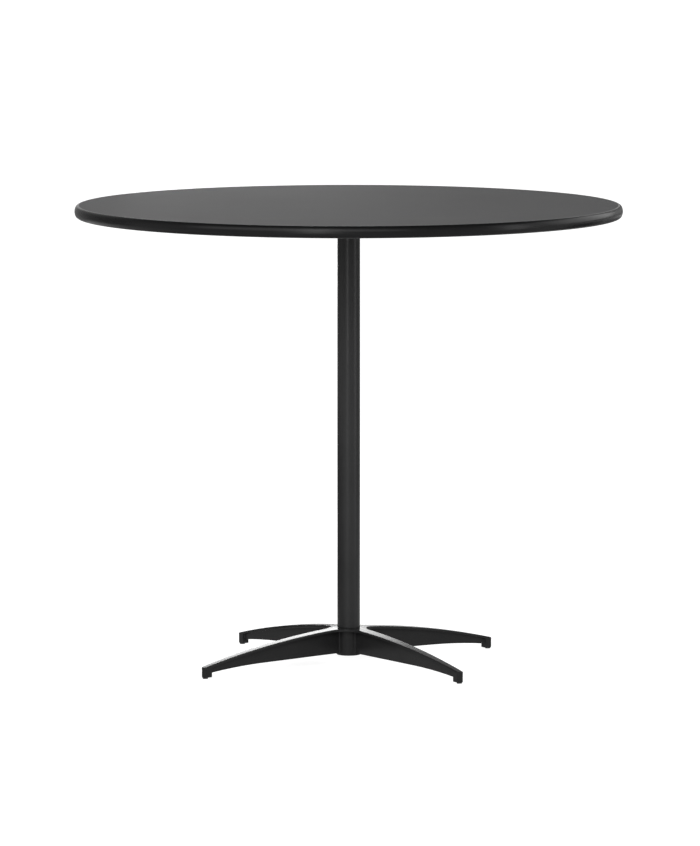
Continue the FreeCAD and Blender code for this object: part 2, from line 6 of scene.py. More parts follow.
import bmesh
import bpy
import numpy as np
from bpy.props import FloatProperty, FloatVectorProperty, PointerProperty
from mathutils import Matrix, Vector


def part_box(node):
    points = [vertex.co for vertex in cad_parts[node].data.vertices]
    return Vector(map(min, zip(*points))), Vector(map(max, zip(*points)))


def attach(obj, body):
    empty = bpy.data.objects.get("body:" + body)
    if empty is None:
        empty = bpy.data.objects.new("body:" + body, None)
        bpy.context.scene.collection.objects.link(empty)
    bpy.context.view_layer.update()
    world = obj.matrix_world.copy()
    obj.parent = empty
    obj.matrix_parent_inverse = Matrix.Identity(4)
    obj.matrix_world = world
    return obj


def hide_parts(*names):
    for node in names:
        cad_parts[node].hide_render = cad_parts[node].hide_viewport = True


bl_info = {
    "name": "Pedestal table",
    "version": (1, 0, 0),
    "blender": (4, 5, 0),
    "location": "3D View > Sidebar > Table",
    "description": "Finishes and fine parts of a round pedestal table, on its packed model",
    "category": "Object",
}

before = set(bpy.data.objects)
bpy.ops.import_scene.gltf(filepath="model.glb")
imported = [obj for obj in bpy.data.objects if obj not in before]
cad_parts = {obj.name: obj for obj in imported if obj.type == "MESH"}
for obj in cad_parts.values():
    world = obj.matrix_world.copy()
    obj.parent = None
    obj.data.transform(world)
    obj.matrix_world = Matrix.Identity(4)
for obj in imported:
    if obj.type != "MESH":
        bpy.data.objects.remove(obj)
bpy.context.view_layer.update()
FEET = ("front_left", "front_right", "back_left", "back_right")
FULL_TURN = 2 * math.pi

# Meshes: points closer than MERGE metres become one, edges over SHARP_ANGLE stay sharp, and TINY
# stands for a length of zero in a division
MERGE = 1e-6
SHARP_ANGLE = math.radians(38)
TINY = 1e-12

# Steps round the axis of each kind of piece
ROUND_STEPS = {
    "laminate": 360,
    "edge_strip": 720,
    "column": 160,
    "nut": 96,
    "washer": 96,
    "screw": 72,
    "pad": 72,
    "stem": 48,
    "rod": 32,
    "floor": 96,
}

# Rows along a profile, and the longest edge in metres on straight runs
EASE_ROWS = 6
NOSE_CORNER_ROWS, NOSE_CROWN_ROWS = 16, 24
SCREW_FACE_ROWS, SCREW_CORNER_ROWS, SCREW_SHANK_ROWS = 26, 10, 110
NUT_CONE_ROWS, NUT_SIDE_ROWS = 7, 6
THREAD_ROWS, ROD_THREAD_ROWS = 10, 6
LAMINATE_GAP, COLUMN_GAP = 0.05, 0.03

# Joint of the edge strip: extra steps beside it, in its widths, and the metres in which it fades
JOINT_STEPS = (0.3, 0.6, 1.0, 1.4, 2.0, 3.0, 5.0)
JOINT_FADE = 0.004

# Threads: slope and flat of the wave, how far the ends of a rod lie below its roots as a part of
# the thread's depth, and the depth of a screw's thread as a part of its radius
THREAD_SLOPE, THREAD_FLAT = 1.6, 0.3
END_DROP = 0.3
SCREW_THREAD = 0.22

# Nuts: width of an end's face as a part of the flats, slope of the cone round it, and the heights
# in metres at which the cone's rows end and the plain sides' rows start
NUT_FACE, NUT_CONE_SLOPE = 0.97, 1.75
NUT_CONE, NUT_SIDE = 0.0012, 0.0018

# Split washer: how far its cut leans along the rim for its height
SPLIT_SLANT = 0.7

# Finishes: their masks run from MASK_LOW to MASK_HIGH, and the finer grain has FINE_RATIO times as
# many grains as the swell and FINE_PART of its height
MASK_LOW, MASK_HIGH = 0.3, 0.7
FINE_RATIO, FINE_PART = 3.7, 0.35

# Stage, in metres: radii of the floor's rings and of the zone in which its glow grows to white,
# the height on a unit sphere at which the sky has the ceiling's level, the camera's sensor in mm
# and the reach of its view
FLOOR_RINGS = (0.0, 1.0, 4.0, 15.0, 60.0)
FLOOR_FADE = (0.8, 2.0)
SKY_TOP = 0.7
SENSOR = 36.0
CLIP = (0.5, 200.0)

# Soft boxes: the level that they follow and their part of it, place, width, height and aim. Places
# are in metres as the camera sees them: right of the table's axis, behind it and above the floor
TABLE_MIDDLE = (0, 0, 0.5)
Lamp = namedtuple("Lamp", ("level", "part", "place", "width", "tall", "aim"))
LAMPS = {
    # Behind the table, where the tops of the arms mirror them
    "back_light": Lamp("back_level", 1.0, (-0.29, 2.2, 0.71), 0.68, 0.58, (-0.29, 0, 0.71)),
    "upper_light": Lamp("back_level", 0.35, (-0.5, 2.2, 1.13), 0.34, 0.26, (-0.5, 0, 1.13)),
    "arm_light": Lamp("back_level", 0.5, (0.12, 2.2, 0.7), 0.14, 0.5, (0.12, 0, 0.7)),
    # Beside the table and in front of it
    "side_light": Lamp("side_level", 1.0, (2.36, 1.04, 1.5), 2.6, 1.5, TABLE_MIDDLE),
    "front_light": Lamp("front_level", 1.0, (-0.9, -2.35, 1.7), 4.6, 1.0, TABLE_MIDDLE),
    "key_light": Lamp("key_level", 1.0, (-0.53, -2.40, 1.0), 0.4, 2.0, TABLE_MIDDLE),
    "strip_light": Lamp("strip_level", 1.0, (2.4, -0.95, 1.0), 0.35, 1.8, TABLE_MIDDLE),
}

# Cards: their grey, the heights of their lower and upper edges, and their corners, right and
# behind, as the camera sees them
Card = namedtuple("Card", ("tone", "bottom", "top", "path"))
CARDS = {
    "low_left_card": Card(0.01, 0.0, 0.3, ((-0.05, 1.28), (-0.75, 1.28), (-0.75, -0.5))),
    "foot_card": Card(0.01, 0.0, 0.12, ((-0.02, 0.55), (-0.45, 0.55), (-0.45, -0.45))),
    "low_right_card": Card(0.05, 0.0, 0.6, ((1.1, 0.0), (1.1, 0.6))),
    "tip_card": Card(0.85, 0.72, 1.02, ((-0.40, 0.9), (-0.62, 0.9))),
    "left_card": Card(0.36, 0.0, 1.7, ((-0.64, 2.25), (-2.6, 2.25), (-2.6, 0.3))),
    "low_back_card": Card(0.25, 0.0, 0.58, ((0.48, 1.42), (1.30, 0.94))),
    "right_card": Card(0.27, 0.5, 1.7, ((0.62, 2.25), (2.0, 2.25), (3.2, 0.9))),
}


# Settings that a user would change


def length(name, description, default):
    """A size in metres."""
    return FloatProperty(
        name=name, description=description, default=default, min=0.0, precision=5, unit="LENGTH"
    )


def share(name, description, default):
    """A part of one."""
    return FloatProperty(
        name=name, description=description, default=default, min=0.0, max=1.0, subtype="FACTOR"
    )


def level(name, description, default):
    """Brightness of a light, where 1 lights a white card to white when it fills the sky."""
    return FloatProperty(name=name, description=description, default=default, min=0.0)


def angle(name, description, default):
    """An angle, given in degrees."""
    return FloatProperty(
        name=name, description=description, default=math.radians(default), subtype="ANGLE"
    )


def colour(name, description, default):
    """A linear colour."""
    return FloatVectorProperty(
        name=name, description=description, default=default, min=0.0, max=1.0, subtype="COLOR"
    )


class TableSizes(bpy.types.PropertyGroup):
    """Sizes of the pieces that the looks make or refine."""

    board_radius: length("Board radius", "Axis to the joint of laminate and edge strip", 0.4498)
    lip_radius: length("Lip radius", "Axis to the end of the edge strip's flat lip", 0.4506)
    rim_radius: length("Rim radius", "Axis to the outside of the edge strip", 0.4572)
    nose_corner: length("Nose corner", "Corner radius of the edge strip's round nose", 0.005544)
    tongue_length: length("Tongue length", "Tongue of the edge strip, into the board", 0.009)
    tongue_half: length("Tongue half", "Half the thickness of that tongue", 0.0011)
    strip_joint: length("Strip joint", "Width and depth of the joint of the strip's ends", 0.0003)
    laminate_ease: length("Laminate ease", "Easing of the laminate's upper edge", 0.00025)
    column_radius: length("Column radius", "Outside of the column", 0.01905)
    column_wall: length("Column wall", "Wall of the column", 0.0016)
    tube_ease: length("Tube ease", "Easing of the tube's ends", 0.0004)
    rod_radius: length("Rod radius", "Outside of the tie rod's thread", 0.005)
    rod_pitch: length("Rod pitch", "Pitch of the tie rod's thread", 0.0015)
    rod_thread: length("Rod thread", "Depth of the tie rod's thread", 0.0009)
    nut_flats: length("Nut flats", "Across the flats of a nut", 0.016)
    nut_bore: length("Nut bore", "Radius of a nut's bore", 0.0051)
    nut_bevel: length("Nut bevel", "Bevel at the ends of that bore", 0.0006)
    washer_bore: length("Washer bore", "Radius of the hole in a washer", 0.0055)
    washer_ease: length("Washer ease", "Easing of a washer's edges", 0.0003)
    lock_gap: length("Lock washer gap", "Gap in the split washer", 0.0012)
    screw_radius: length("Screw radius", "Outside of the screw's thread", 0.00225)
    screw_pitch: length("Screw pitch", "Pitch of the screw's thread", 0.0018)
    screw_point: length("Screw point", "Length of the screw's tapered point", 0.004)
    screw_head: length("Screw head", "Radius of the screw's pan head", 0.0045)
    screw_round: length("Screw round", "Rounding of the head's lower edge", 0.0018)
    screw_dome: length("Screw dome", "Height of the head's slight dome", 0.0006)
    drive_width: length("Drive width", "Width of the cross in the screw's head", 0.0011)
    drive_reach: length("Drive reach", "Axis to the end of a wing of that cross", 0.0025)
    drive_depth: length("Drive depth", "Depth of that cross", 0.0016)
    drive_wall: length("Drive wall", "Width of the cross's sloping walls", 0.0002)
    drive_slope: length("Drive slope", "Length of the slope at the end of a wing", 0.0005)
    pad_radius: length("Pad radius", "Outside of a glide's pad", 0.0046)
    pad_ease: length("Pad ease", "Rounding of the pad's sole", 0.0007)
    pad_rim_ease: length("Pad rim ease", "Easing of the pad's upper edge", 0.0002)
    pad_recess: length("Pad recess", "Depth of the stem's seat in the pad", 0.0006)
    stem_radius: length("Stem radius", "Outside of the glide stem's thread", 0.003)
    stem_pitch: length("Stem pitch", "Pitch of that thread", 0.001)
    stem_thread: length("Stem thread", "Depth of that thread", 0.0005)


class TableColours(bpy.types.PropertyGroup):
    """Colours of the finishes."""

    laminate: colour("Laminate", "Matte black sheet on the top", (0.024, 0.024, 0.0245))
    edge_strip: colour("Edge strip", "Black vinyl round the top", (0.004, 0.004, 0.0042))
    column: colour("Column", "Black powder coat on the tube", (0.018, 0.018, 0.0183))
    base: colour("Base", "Black powder coat on the casting", (0.0125, 0.0125, 0.0127))
    plate: colour("Plate", "Black paint on the mounting plate", (0.016, 0.016, 0.016))
    zinc: colour("Zinc", "Bright zinc on rod, nuts, washers and screws", (0.62, 0.62, 0.60))
    nylon: colour("Nylon", "Black nylon of the glide pads", (0.018, 0.018, 0.018))
    backer: colour("Backer", "Dark sheet under the top", (0.030, 0.026, 0.022))
    board: colour("Board", "Raw board inside the top", (0.45, 0.33, 0.20))


class TableStage(bpy.types.PropertyGroup):
    """Camera, floor and lamps."""

    camera_distance: length("Camera distance", "Camera to the table's axis, on the level", 11.776)
    camera_height: length("Camera height", "Floor to the camera", 1.6724)
    camera_turn: angle("Camera turn", "Camera's place, from the front to the right", 7.467)
    camera_swing: angle("Camera swing", "Camera's aim to the right of the axis", 0.0105)
    camera_pitch: angle("Camera pitch", "Camera's aim below the horizon", 6.1395)
    lens: FloatProperty(
        name="Lens", description="Focal length in mm on a 36 mm sensor", default=301.2, min=1.0
    )
    floor: colour("Floor", "Plain pale floor", (0.40, 0.40, 0.40))
    floor_white: share("Floor white", "Part of the white by the table without shadow", 0.83)
    sky_low: level("Horizon", "Level of the studio near the horizon", 1.35)
    sky_high: level("Ceiling", "Level of the studio overhead", 0.15)
    back_level: level("Back lights", "Level of the soft lights behind", 6.0)
    side_level: level("Side light", "Level of the soft light on the right", 2.7)
    front_level: level("Front light", "Level of the wide soft light in front", 4.2)
    key_level: level("Key light", "Level of the tall soft light in front", 10.0)
    strip_level: level("Strip light", "Level of the slim soft light in front, on the right", 9.0)


# Surfaces


def unit(vectors):
    """Vectors of length one."""
    return vectors / np.maximum(np.linalg.norm(vectors, axis=-1, keepdims=True), TINY)


def rectangle(inside, outside, low, high):
    """Corners of a section between two radii and two heights."""
    return [(inside, low), (outside, low), (outside, high), (inside, high)]


def eased(corners, ease):
    """A closed profile with each corner a parabola that starts and ends ease away from it."""
    corners = np.asarray(corners, float)
    reach = np.broadcast_to(np.asarray(ease, float), len(corners))[:, None]
    start = corners + unit(np.roll(corners, 1, axis=0) - corners) * reach
    end = corners + unit(np.roll(corners, -1, axis=0) - corners) * reach
    t = np.linspace(0, 1, EASE_ROWS)[None, :, None]
    middle = 2 * t * (1 - t) * corners[:, None]
    curve = (1 - t) ** 2 * start[:, None] + middle + t**2 * end[:, None]
    return curve.reshape(-1, 2)


def spaced(profile, gap):
    """The closed profile with points added along its edges, so that none is longer than gap."""
    following = np.roll(profile, -1, axis=0)
    counts = np.ceil(np.linalg.norm(following - profile, axis=1) / gap)
    counts = np.maximum(counts, 1).astype(int)
    first = np.repeat(np.arange(len(profile)), counts)
    step = np.arange(len(first)) - np.repeat(np.cumsum(counts) - counts, counts)
    t = (step / counts[first])[:, None]
    return profile[first] * (1 - t) + following[first] * t


def arc(centre, radius, start, end, count):
    """Points of a circle about centre, from one angle in degrees to another."""
    turn = np.radians(np.linspace(start, end, count))
    return np.stack([centre[0] + radius * np.cos(turn), centre[1] + radius * np.sin(turn)], axis=1)


def round_angles(kind):
    """Equal steps round the full circle, as many as that kind of piece has."""
    count = ROUND_STEPS[kind]
    return np.arange(count) * FULL_TURN / count


def swept(radius, height, angles, axis=(0.0, 0.0)):
    """Points round an upright axis: x = r cos a and y = r sin a from it, z = height."""
    across, along = radius * np.cos(angles), radius * np.sin(angles)
    return np.stack([axis[0] + across, axis[1] + along, height + 0 * across], axis=-1)


def turned(profile, angles, axis=(0.0, 0.0)):
    """Each (radius, height) of the profile, carried round an upright axis."""
    radius, height = np.asarray(profile).T[:, :, None]
    return swept(radius, height, angles, axis)


def thread_share(height, angles, pitch):
    """Depth of a thread from 0 at its crest to 1 at its root: a flat-topped wave round a helix."""
    phase = (height[:, None] / pitch - angles[None, :] / FULL_TURN) % 1.0
    return np.clip(THREAD_SLOPE * np.abs(2 * phase - 1) - THREAD_FLAT, 0, 1)


def threaded(radius, depth, pitch, low, high, angles, axis=(0.0, 0.0), rows=THREAD_ROWS):
    """A rod with a thread, with so many rows to a turn of it, closed at both ends.

    Its radius falls by depth times the thread's share, and a bevel limits it near the ends.
    """
    height = np.linspace(low, high, max(int((high - low) / pitch * rows), 2))
    bevel = radius - depth - END_DROP * depth + np.minimum(height - low, high - height)
    wave = np.minimum(radius - depth * thread_share(height, angles, pitch), bevel[:, None])
    wave = np.vstack([0 * wave[:1], wave, 0 * wave[:1]])
    height = np.concatenate([[low], height, [high]])
    return swept(wave, height[:, None], angles, axis)


def grid_faces(rows, columns, closed_rows, closed_columns):
    """Four-sided faces between neighbours of a grid, which may close on itself either way."""
    row = np.arange(rows if closed_rows else rows - 1)[:, None]
    column = np.arange(columns if closed_columns else columns - 1)[None, :]
    below, beside = (row + 1) % rows, (column + 1) % columns
    corners = ((row, column), (row, beside), (below, beside), (below, column))
    return np.stack([down * columns + over for down, over in corners], axis=-1).reshape(-1, 4)


def closed_mesh(name, source):
    """A mesh with doubles merged, nothing loose, faces outwards, smooth up to the sharp angle."""
    mesh = bpy.data.meshes.new(name)
    work = bmesh.new()
    work.from_mesh(source)
    bmesh.ops.remove_doubles(work, verts=work.verts, dist=MERGE)
    loose = [edge for edge in work.edges if not edge.link_faces]
    bmesh.ops.delete(work, geom=loose, context="EDGES")
    bmesh.ops.recalc_face_normals(work, faces=work.faces)
    work.to_mesh(mesh)
    work.free()
    custom = mesh.attributes.get("custom_normal")
    if custom:
        mesh.attributes.remove(custom)
    mesh.shade_smooth()
    mesh.set_sharp_from_angle(angle=SHARP_ANGLE)
    return mesh


def surface(name, grids, closed_rows=True, closed_columns=True):
    """A mesh from one or more grids of points."""
    points, faces, used = [], [], 0
    for grid in grids:
        rows, columns = grid.shape[:2]
        points.append(grid.reshape(-1, 3))
        faces.append(grid_faces(rows, columns, closed_rows, closed_columns) + used)
        used += rows * columns
    draft = bpy.data.meshes.new(f"{name}_draft")
    draft.from_pydata(np.concatenate(points), [], np.concatenate(faces))
    mesh = closed_mesh(name, draft)
    bpy.data.meshes.remove(draft)
    return mesh


def new_object(name, data):
    """An object in the scene."""
    made = bpy.data.objects.new(name, data)
    bpy.context.scene.collection.objects.link(made)
    return made


def piece(name, mesh, body, material, nodes):
    """An object that stands for CAD nodes, moves with their body and takes a slot's finish."""
    if not len(mesh.polygons):
        raise RuntimeError(f"{name} has no faces")
    made = new_object(name, mesh)
    mesh.materials.clear()
    mesh.materials.append(material)
    normals = made.modifiers.new("even_normals", "WEIGHTED_NORMAL")
    normals.keep_sharp = True
    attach(made, body)
    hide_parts(*nodes)
    return made


def smooth_copy(name, node, body, material):
    """A piece with a CAD node's own shape, joined up so that round faces shade smoothly."""
    return piece(name, closed_mesh(name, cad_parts[node].data), body, material, [node])


def finish_node(node, material):
    """Give a CAD node that stays a finish of its own."""
    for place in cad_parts[node].material_slots:
        place.link = "OBJECT"
        place.material = material


# Finishes


def fill(node, values):
    """The node with values for its sockets, whose names are written with _ for a space."""
    for socket, value in values.items():
        node.inputs[socket.replace("_", " ")].default_value = value
    return node


def add(tree, kind, **values):
    """A node of that kind with values for its sockets."""
    return fill(tree.nodes.new(kind), values)


def add_group(tree, group, **values):
    """A shared effect, placed in a material with its own values."""
    made = tree.nodes.new("ShaderNodeGroup")
    made.node_tree = group
    return fill(made, values)


def add_math(tree, operation, second=None):
    """A node that works with numbers, of which the second may be set here."""
    made = tree.nodes.new("ShaderNodeMath")
    made.operation = operation
    if second is not None:
        made.inputs[1].default_value = second
    return made


def add_span(tree, low, high, start=MASK_LOW, end=MASK_HIGH):
    """A node that carries a mask from start to end over to low to high."""
    return add(
        tree, "ShaderNodeMapRange", From_Min=start, From_Max=end, To_Min=low, To_Max=high
    )


def add_ramp(tree, first, last, start=MASK_LOW, end=MASK_HIGH):
    """A node that turns a mask into a colour between two."""
    made = tree.nodes.new("ShaderNodeValToRGB")
    for stop, place, tone in zip(made.color_ramp.elements, (start, end), (first, last)):
        stop.position = place
        stop.color = (*tone, 1.0)
    return made


def link(tree, *pairs):
    """Join outputs to inputs, given as (node, output, node, input)."""
    for source, output, target, entry in pairs:
        tree.links.new(source.outputs[output], target.inputs[entry])


def new_group(name, inputs, outputs):
    """An empty shader group with named sockets, its input and output nodes."""
    tree = bpy.data.node_groups.new(name, "ShaderNodeTree")
    for socket, kind in inputs.items():
        tree.interface.new_socket(socket, in_out="INPUT", socket_type=kind)
    for socket in outputs:
        tree.interface.new_socket(socket, in_out="OUTPUT", socket_type="NodeSocketFloat")
    return tree, tree.nodes.new("NodeGroupInput"), tree.nodes.new("NodeGroupOutput")


def new_material(name):
    """A material with the plain shader, and its tree of nodes."""
    made = bpy.data.materials.new(name)
    made.use_nodes = True
    return made, made.node_tree


def grain_group():
    """Fine relief of a coat or sheet: a soft swell with finer grain on it, and slow clouds."""
    if "fine_grain" in bpy.data.node_groups:
        return bpy.data.node_groups["fine_grain"]
    inputs = {
        "Vector": "NodeSocketVector",
        "Grains": "NodeSocketFloat",
        "Clouds": "NodeSocketFloat",
    }
    tree, entry, result = new_group("fine_grain", inputs, ("Height", "Sparkle", "Cloud"))
    swell = add(tree, "ShaderNodeTexNoise", Detail=2.0, Roughness=0.5)
    fine = add(tree, "ShaderNodeTexNoise", Detail=1.0, Roughness=0.5)
    cloud = add(tree, "ShaderNodeTexNoise", Detail=3.0, Roughness=0.6)
    finer = add_math(tree, "MULTIPLY", FINE_RATIO)
    blend = add_math(tree, "MULTIPLY_ADD", FINE_PART)
    link(
        tree,
        (entry, "Vector", swell, "Vector"),
        (entry, "Vector", fine, "Vector"),
        (entry, "Vector", cloud, "Vector"),
        (entry, "Grains", swell, "Scale"),
        (entry, "Grains", finer, 0),
        (finer, 0, fine, "Scale"),
        (entry, "Clouds", cloud, "Scale"),
        (fine, "Fac", blend, 0),
        (swell, "Fac", blend, 2),
        (blend, 0, result, "Height"),
        (fine, "Fac", result, "Sparkle"),
        (cloud, "Fac", result, "Cloud"),
    )
    return tree


def coat(name, tone, rough, grains, depth, clouds=9.0, spread=0.12, metal=0.0, shine=0.5):
    """A finish whose colour drifts with slow clouds; roughness and relief follow its grains.

    rough holds the lowest and highest roughness, grains and clouds are counts to a metre, depth is
    the relief in metres, spread the drift of the colour and shine the strength of reflections.
    """
    if name in bpy.data.materials:
        return bpy.data.materials[name]
    material, tree = new_material(name)
    shader = tree.nodes["Principled BSDF"]
    fill(shader, {"Metallic": metal, "Specular IOR Level": shine})
    place = tree.nodes.new("ShaderNodeTexCoord")
    grain = add_group(tree, grain_group(), Grains=grains, Clouds=clouds)
    dark, light = (tuple(part * (1 + side * spread) for part in tone) for side in (-1, 1))
    tint = add_ramp(tree, dark, light)
    gloss = add_span(tree, *rough)
    bump = add(tree, "ShaderNodeBump", Strength=1.0, Distance=depth)
    link(
        tree,
        (place, "Object", grain, "Vector"),
        (grain, "Cloud", tint, "Fac"),
        (tint, "Color", shader, "Base Color"),
        (grain, "Sparkle", gloss, "Value"),
        (gloss, "Result", shader, "Roughness"),
        (grain, "Height", bump, "Height"),
        (bump, "Normal", shader, "Normal"),
    )
    return material


def laminate_finish(colours):
    """Matte laminate: a fine pressed texture that breaks up reflections."""
    return coat(
        "matte_laminate",
        colours.laminate,
        rough=(0.62, 0.70),
        grains=1400.0,
        depth=0.00002,
        clouds=5.0,
        shine=0.55,
    )


def strip_finish(colours):
    """Extruded vinyl, smoother than the laminate."""
    return coat(
        "black_vinyl",
        colours.edge_strip,
        rough=(0.26, 0.32),
        grains=500.0,
        depth=0.000008,
        clouds=14.0,
        shine=0.09,
    )


def column_finish(colours):
    """Satin powder coat on tube."""
    return coat(
        "tube_powder_coat",
        colours.column,
        rough=(0.28, 0.36),
        grains=520.0,
        depth=0.00001,
        shine=0.10,
    )


def base_finish(colours):
    """Semi-gloss powder coat on a casting, with a slightly coarser swell."""
    return coat(
        "cast_powder_coat",
        colours.base,
        rough=(0.22, 0.28),
        grains=360.0,
        depth=0.000014,
        shine=0.08,
    )


def plate_finish(colours):
    """Thin satin paint on flat steel."""
    return coat("plate_paint", colours.plate, rough=(0.40, 0.52), grains=700.0, depth=0.000008)


def zinc_finish(colours):
    """Bright zinc plating with a faint, uneven haze."""
    return coat(
        "bright_zinc",
        colours.zinc,
        rough=(0.24, 0.40),
        grains=900.0,
        depth=0.000004,
        clouds=60.0,
        metal=1.0,
    )


def nylon_finish(colours):
    """Moulded nylon."""
    return coat(
        "moulded_nylon",
        colours.nylon,
        rough=(0.45, 0.60),
        grains=1100.0,
        depth=0.00001,
        clouds=80.0,
    )


def backer_finish(colours):
    """Dull brown-black balancing sheet, mottled by its fibres."""
    return coat(
        "backer_sheet_face",
        colours.backer,
        rough=(0.55, 0.70),
        grains=300.0,
        depth=0.00003,
        clouds=26.0,
        spread=0.35,
    )


def board_finish(colours):
    """Raw particle board, with chips of several tones."""
    return coat(
        "particle_board",
        colours.board,
        rough=(0.75, 0.9),
        grains=180.0,
        depth=0.0002,
        clouds=240.0,
        spread=0.4,
    )


# Pieces


class TABLE_OT_top(bpy.types.Operator):
    """Laminate face with an eased edge, on its board, with the dark sheet underneath"""

    bl_idname = "pedestal_table.top"
    bl_label = "Top"

    def execute(self, context):
        sizes, colours = context.scene.table_sizes, context.scene.table_colours
        low, high = (corner.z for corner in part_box("top_laminate"))
        corners = rectangle(0, sizes.board_radius, low, high)
        profile = spaced(eased(corners, (0, 0, sizes.laminate_ease, 0)), LAMINATE_GAP)
        grid = turned(profile, round_angles("laminate"))
        piece(
            "laminate_face",
            surface("laminate_face", [grid]),
            "table",
            laminate_finish(colours),
            ["top_laminate"],
        )
        finish_node("top_core", board_finish(colours))
        finish_node("backer_sheet", backer_finish(colours))
        return {"FINISHED"}


class TABLE_OT_edge_strip(bpy.types.Operator):
    """Edge strip with its round nose, its tongue and the joint of its two ends at the back"""

    bl_idname = "pedestal_table.edge_strip"
    bl_label = "Edge strip"

    def profile(self, sizes):
        """Half section: a crown arc that runs into two corner arcs, two flat lips and a tongue."""
        low, high = (corner.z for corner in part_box("edge_moulding"))
        middle, half = (low + high) / 2, (high - low) / 2
        depth, corner = sizes.rim_radius - sizes.lip_radius, sizes.nose_corner
        crown = (half**2 + depth**2 - 2 * half * corner) / (2 * (depth - corner))
        centre = sizes.rim_radius - crown
        blend = math.degrees(math.atan2(half - corner, sizes.lip_radius - centre))
        start = (sizes.lip_radius, middle + half - corner)
        upper = arc(start, corner, 90, blend, NOSE_CORNER_ROWS)
        nose = arc((centre, middle), crown, blend, -blend, NOSE_CROWN_ROWS)[1:-1]
        lower = upper[::-1] * (1, -1) + (0, 2 * middle)
        back, end = sizes.board_radius, sizes.board_radius - sizes.tongue_length
        behind = [
            (back, low),
            (back, middle - sizes.tongue_half),
            (end, middle - sizes.tongue_half),
            (end, middle + sizes.tongue_half),
            (back, middle + sizes.tongue_half),
            (back, high),
        ]
        return np.concatenate([upper, nose, lower, behind])

    def execute(self, context):
        sizes, colours = context.scene.table_sizes, context.scene.table_colours
        profile = self.profile(sizes)
        near = np.array(JOINT_STEPS) * sizes.strip_joint / sizes.rim_radius
        steps = np.unique(np.concatenate([round_angles("edge_strip"), near, FULL_TURN - near]))
        grid = turned(profile, steps + math.pi / 2)
        apart = np.minimum(steps, FULL_TURN - steps) * sizes.rim_radius
        notch = sizes.strip_joint * np.exp(-((apart / sizes.strip_joint) ** 2))
        outside = np.clip((profile[:, 0] - sizes.board_radius) / JOINT_FADE, 0, 1)
        shrink = 1 - outside[:, None] * notch[None, :] / sizes.rim_radius
        grid[:, :, :2] *= shrink[:, :, None]
        piece(
            "edge_strip",
            surface("edge_strip", [grid]),
            "table",
            strip_finish(colours),
            ["edge_moulding"],
        )
        return {"FINISHED"}


class TABLE_OT_column(bpy.types.Operator):
    """Column tube with eased ends"""

    bl_idname = "pedestal_table.column"
    bl_label = "Column"

    def execute(self, context):
        sizes, colours = context.scene.table_sizes, context.scene.table_colours
        low, high = (corner.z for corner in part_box("column_tube"))
        inside = sizes.column_radius - sizes.column_wall
        corners = rectangle(inside, sizes.column_radius, low, high)
        grid = turned(spaced(eased(corners, sizes.tube_ease), COLUMN_GAP), round_angles("column"))
        piece(
            "column",
            surface("column", [grid]),
            "table",
            column_finish(colours),
            ["column_tube"],
        )
        return {"FINISHED"}


class TABLE_OT_base(bpy.types.Operator):
    """Cast base: hub, four arched arms and their feet"""

    bl_idname = "pedestal_table.base"
    bl_label = "Base"

    def execute(self, context):
        paint = base_finish(context.scene.table_colours)
        smooth_copy("base", "base_casting", "table", paint)
        return {"FINISHED"}


class TABLE_OT_plate(bpy.types.Operator):
    """Mounting plate under the top, its collar and its four cross-head screws"""

    bl_idname = "pedestal_table.plate"
    bl_label = "Plate and screws"

    def screw(self, sizes, axis, seat, tip, head):
        """Rows of points round an axis: a pan head with a sunk cross, then a thread to a point."""
        angles = round_angles("screw")
        flat, face = sizes.screw_head - sizes.screw_round, head + sizes.screw_dome
        centre = (flat, face + sizes.screw_round)
        edge = arc(centre, sizes.screw_round, -90, 0, SCREW_CORNER_ROWS)[1:]
        radius = np.linspace(0, flat, SCREW_FACE_ROWS)
        radius = np.concatenate([radius, edge[:, 0], [sizes.screw_head]])
        height = np.concatenate([np.full(SCREW_FACE_ROWS, face), edge[:, 1], [seat]])
        dome = np.cos(np.clip(radius[:-1] / sizes.screw_head, 0, 1) * math.pi / 2)
        height[:-1] -= sizes.screw_dome * dome
        across, along = abs(radius[:, None] * np.cos(angles)), abs(radius[:, None] * np.sin(angles))
        narrow, wide = np.minimum(across, along), np.maximum(across, along)
        wing = np.clip((sizes.drive_width / 2 - narrow) / sizes.drive_wall + 0.5, 0, 1)
        wing *= np.clip((sizes.drive_reach - wide) / sizes.drive_slope, 0, 1)
        rise = height[:, None] + sizes.drive_depth * wing
        shank = np.linspace(seat, tip, SCREW_SHANK_ROWS)
        taper = np.clip((tip - shank) / sizes.screw_point, 0, 1) * sizes.screw_radius
        thread = SCREW_THREAD * thread_share(shank, angles, sizes.screw_pitch)
        wave = taper[:, None] * (1 - thread)
        spread = np.vstack([radius[:, None] + 0 * rise, wave])
        lift = np.vstack([rise, shank[:, None] + 0 * wave])
        return swept(spread, lift, angles, axis)

    def execute(self, context):
        sizes, colours = context.scene.table_sizes, context.scene.table_colours
        paint = plate_finish(colours)
        smooth_copy("plate", "mounting_plate", "table", paint)
        finish_node("plate_spigot", paint)
        low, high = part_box("plate_screws")
        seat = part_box("mounting_plate")[0].z
        across = high.x - sizes.screw_head
        places = [(x * across, y * across) for x in (-1, 1) for y in (-1, 1)]
        grids = [self.screw(sizes, place, seat, high.z, low.z) for place in places]
        piece(
            "screws",
            surface("screws", grids, closed_rows=False),
            "table",
            zinc_finish(colours),
            ["plate_screws"],
        )
        return {"FINISHED"}


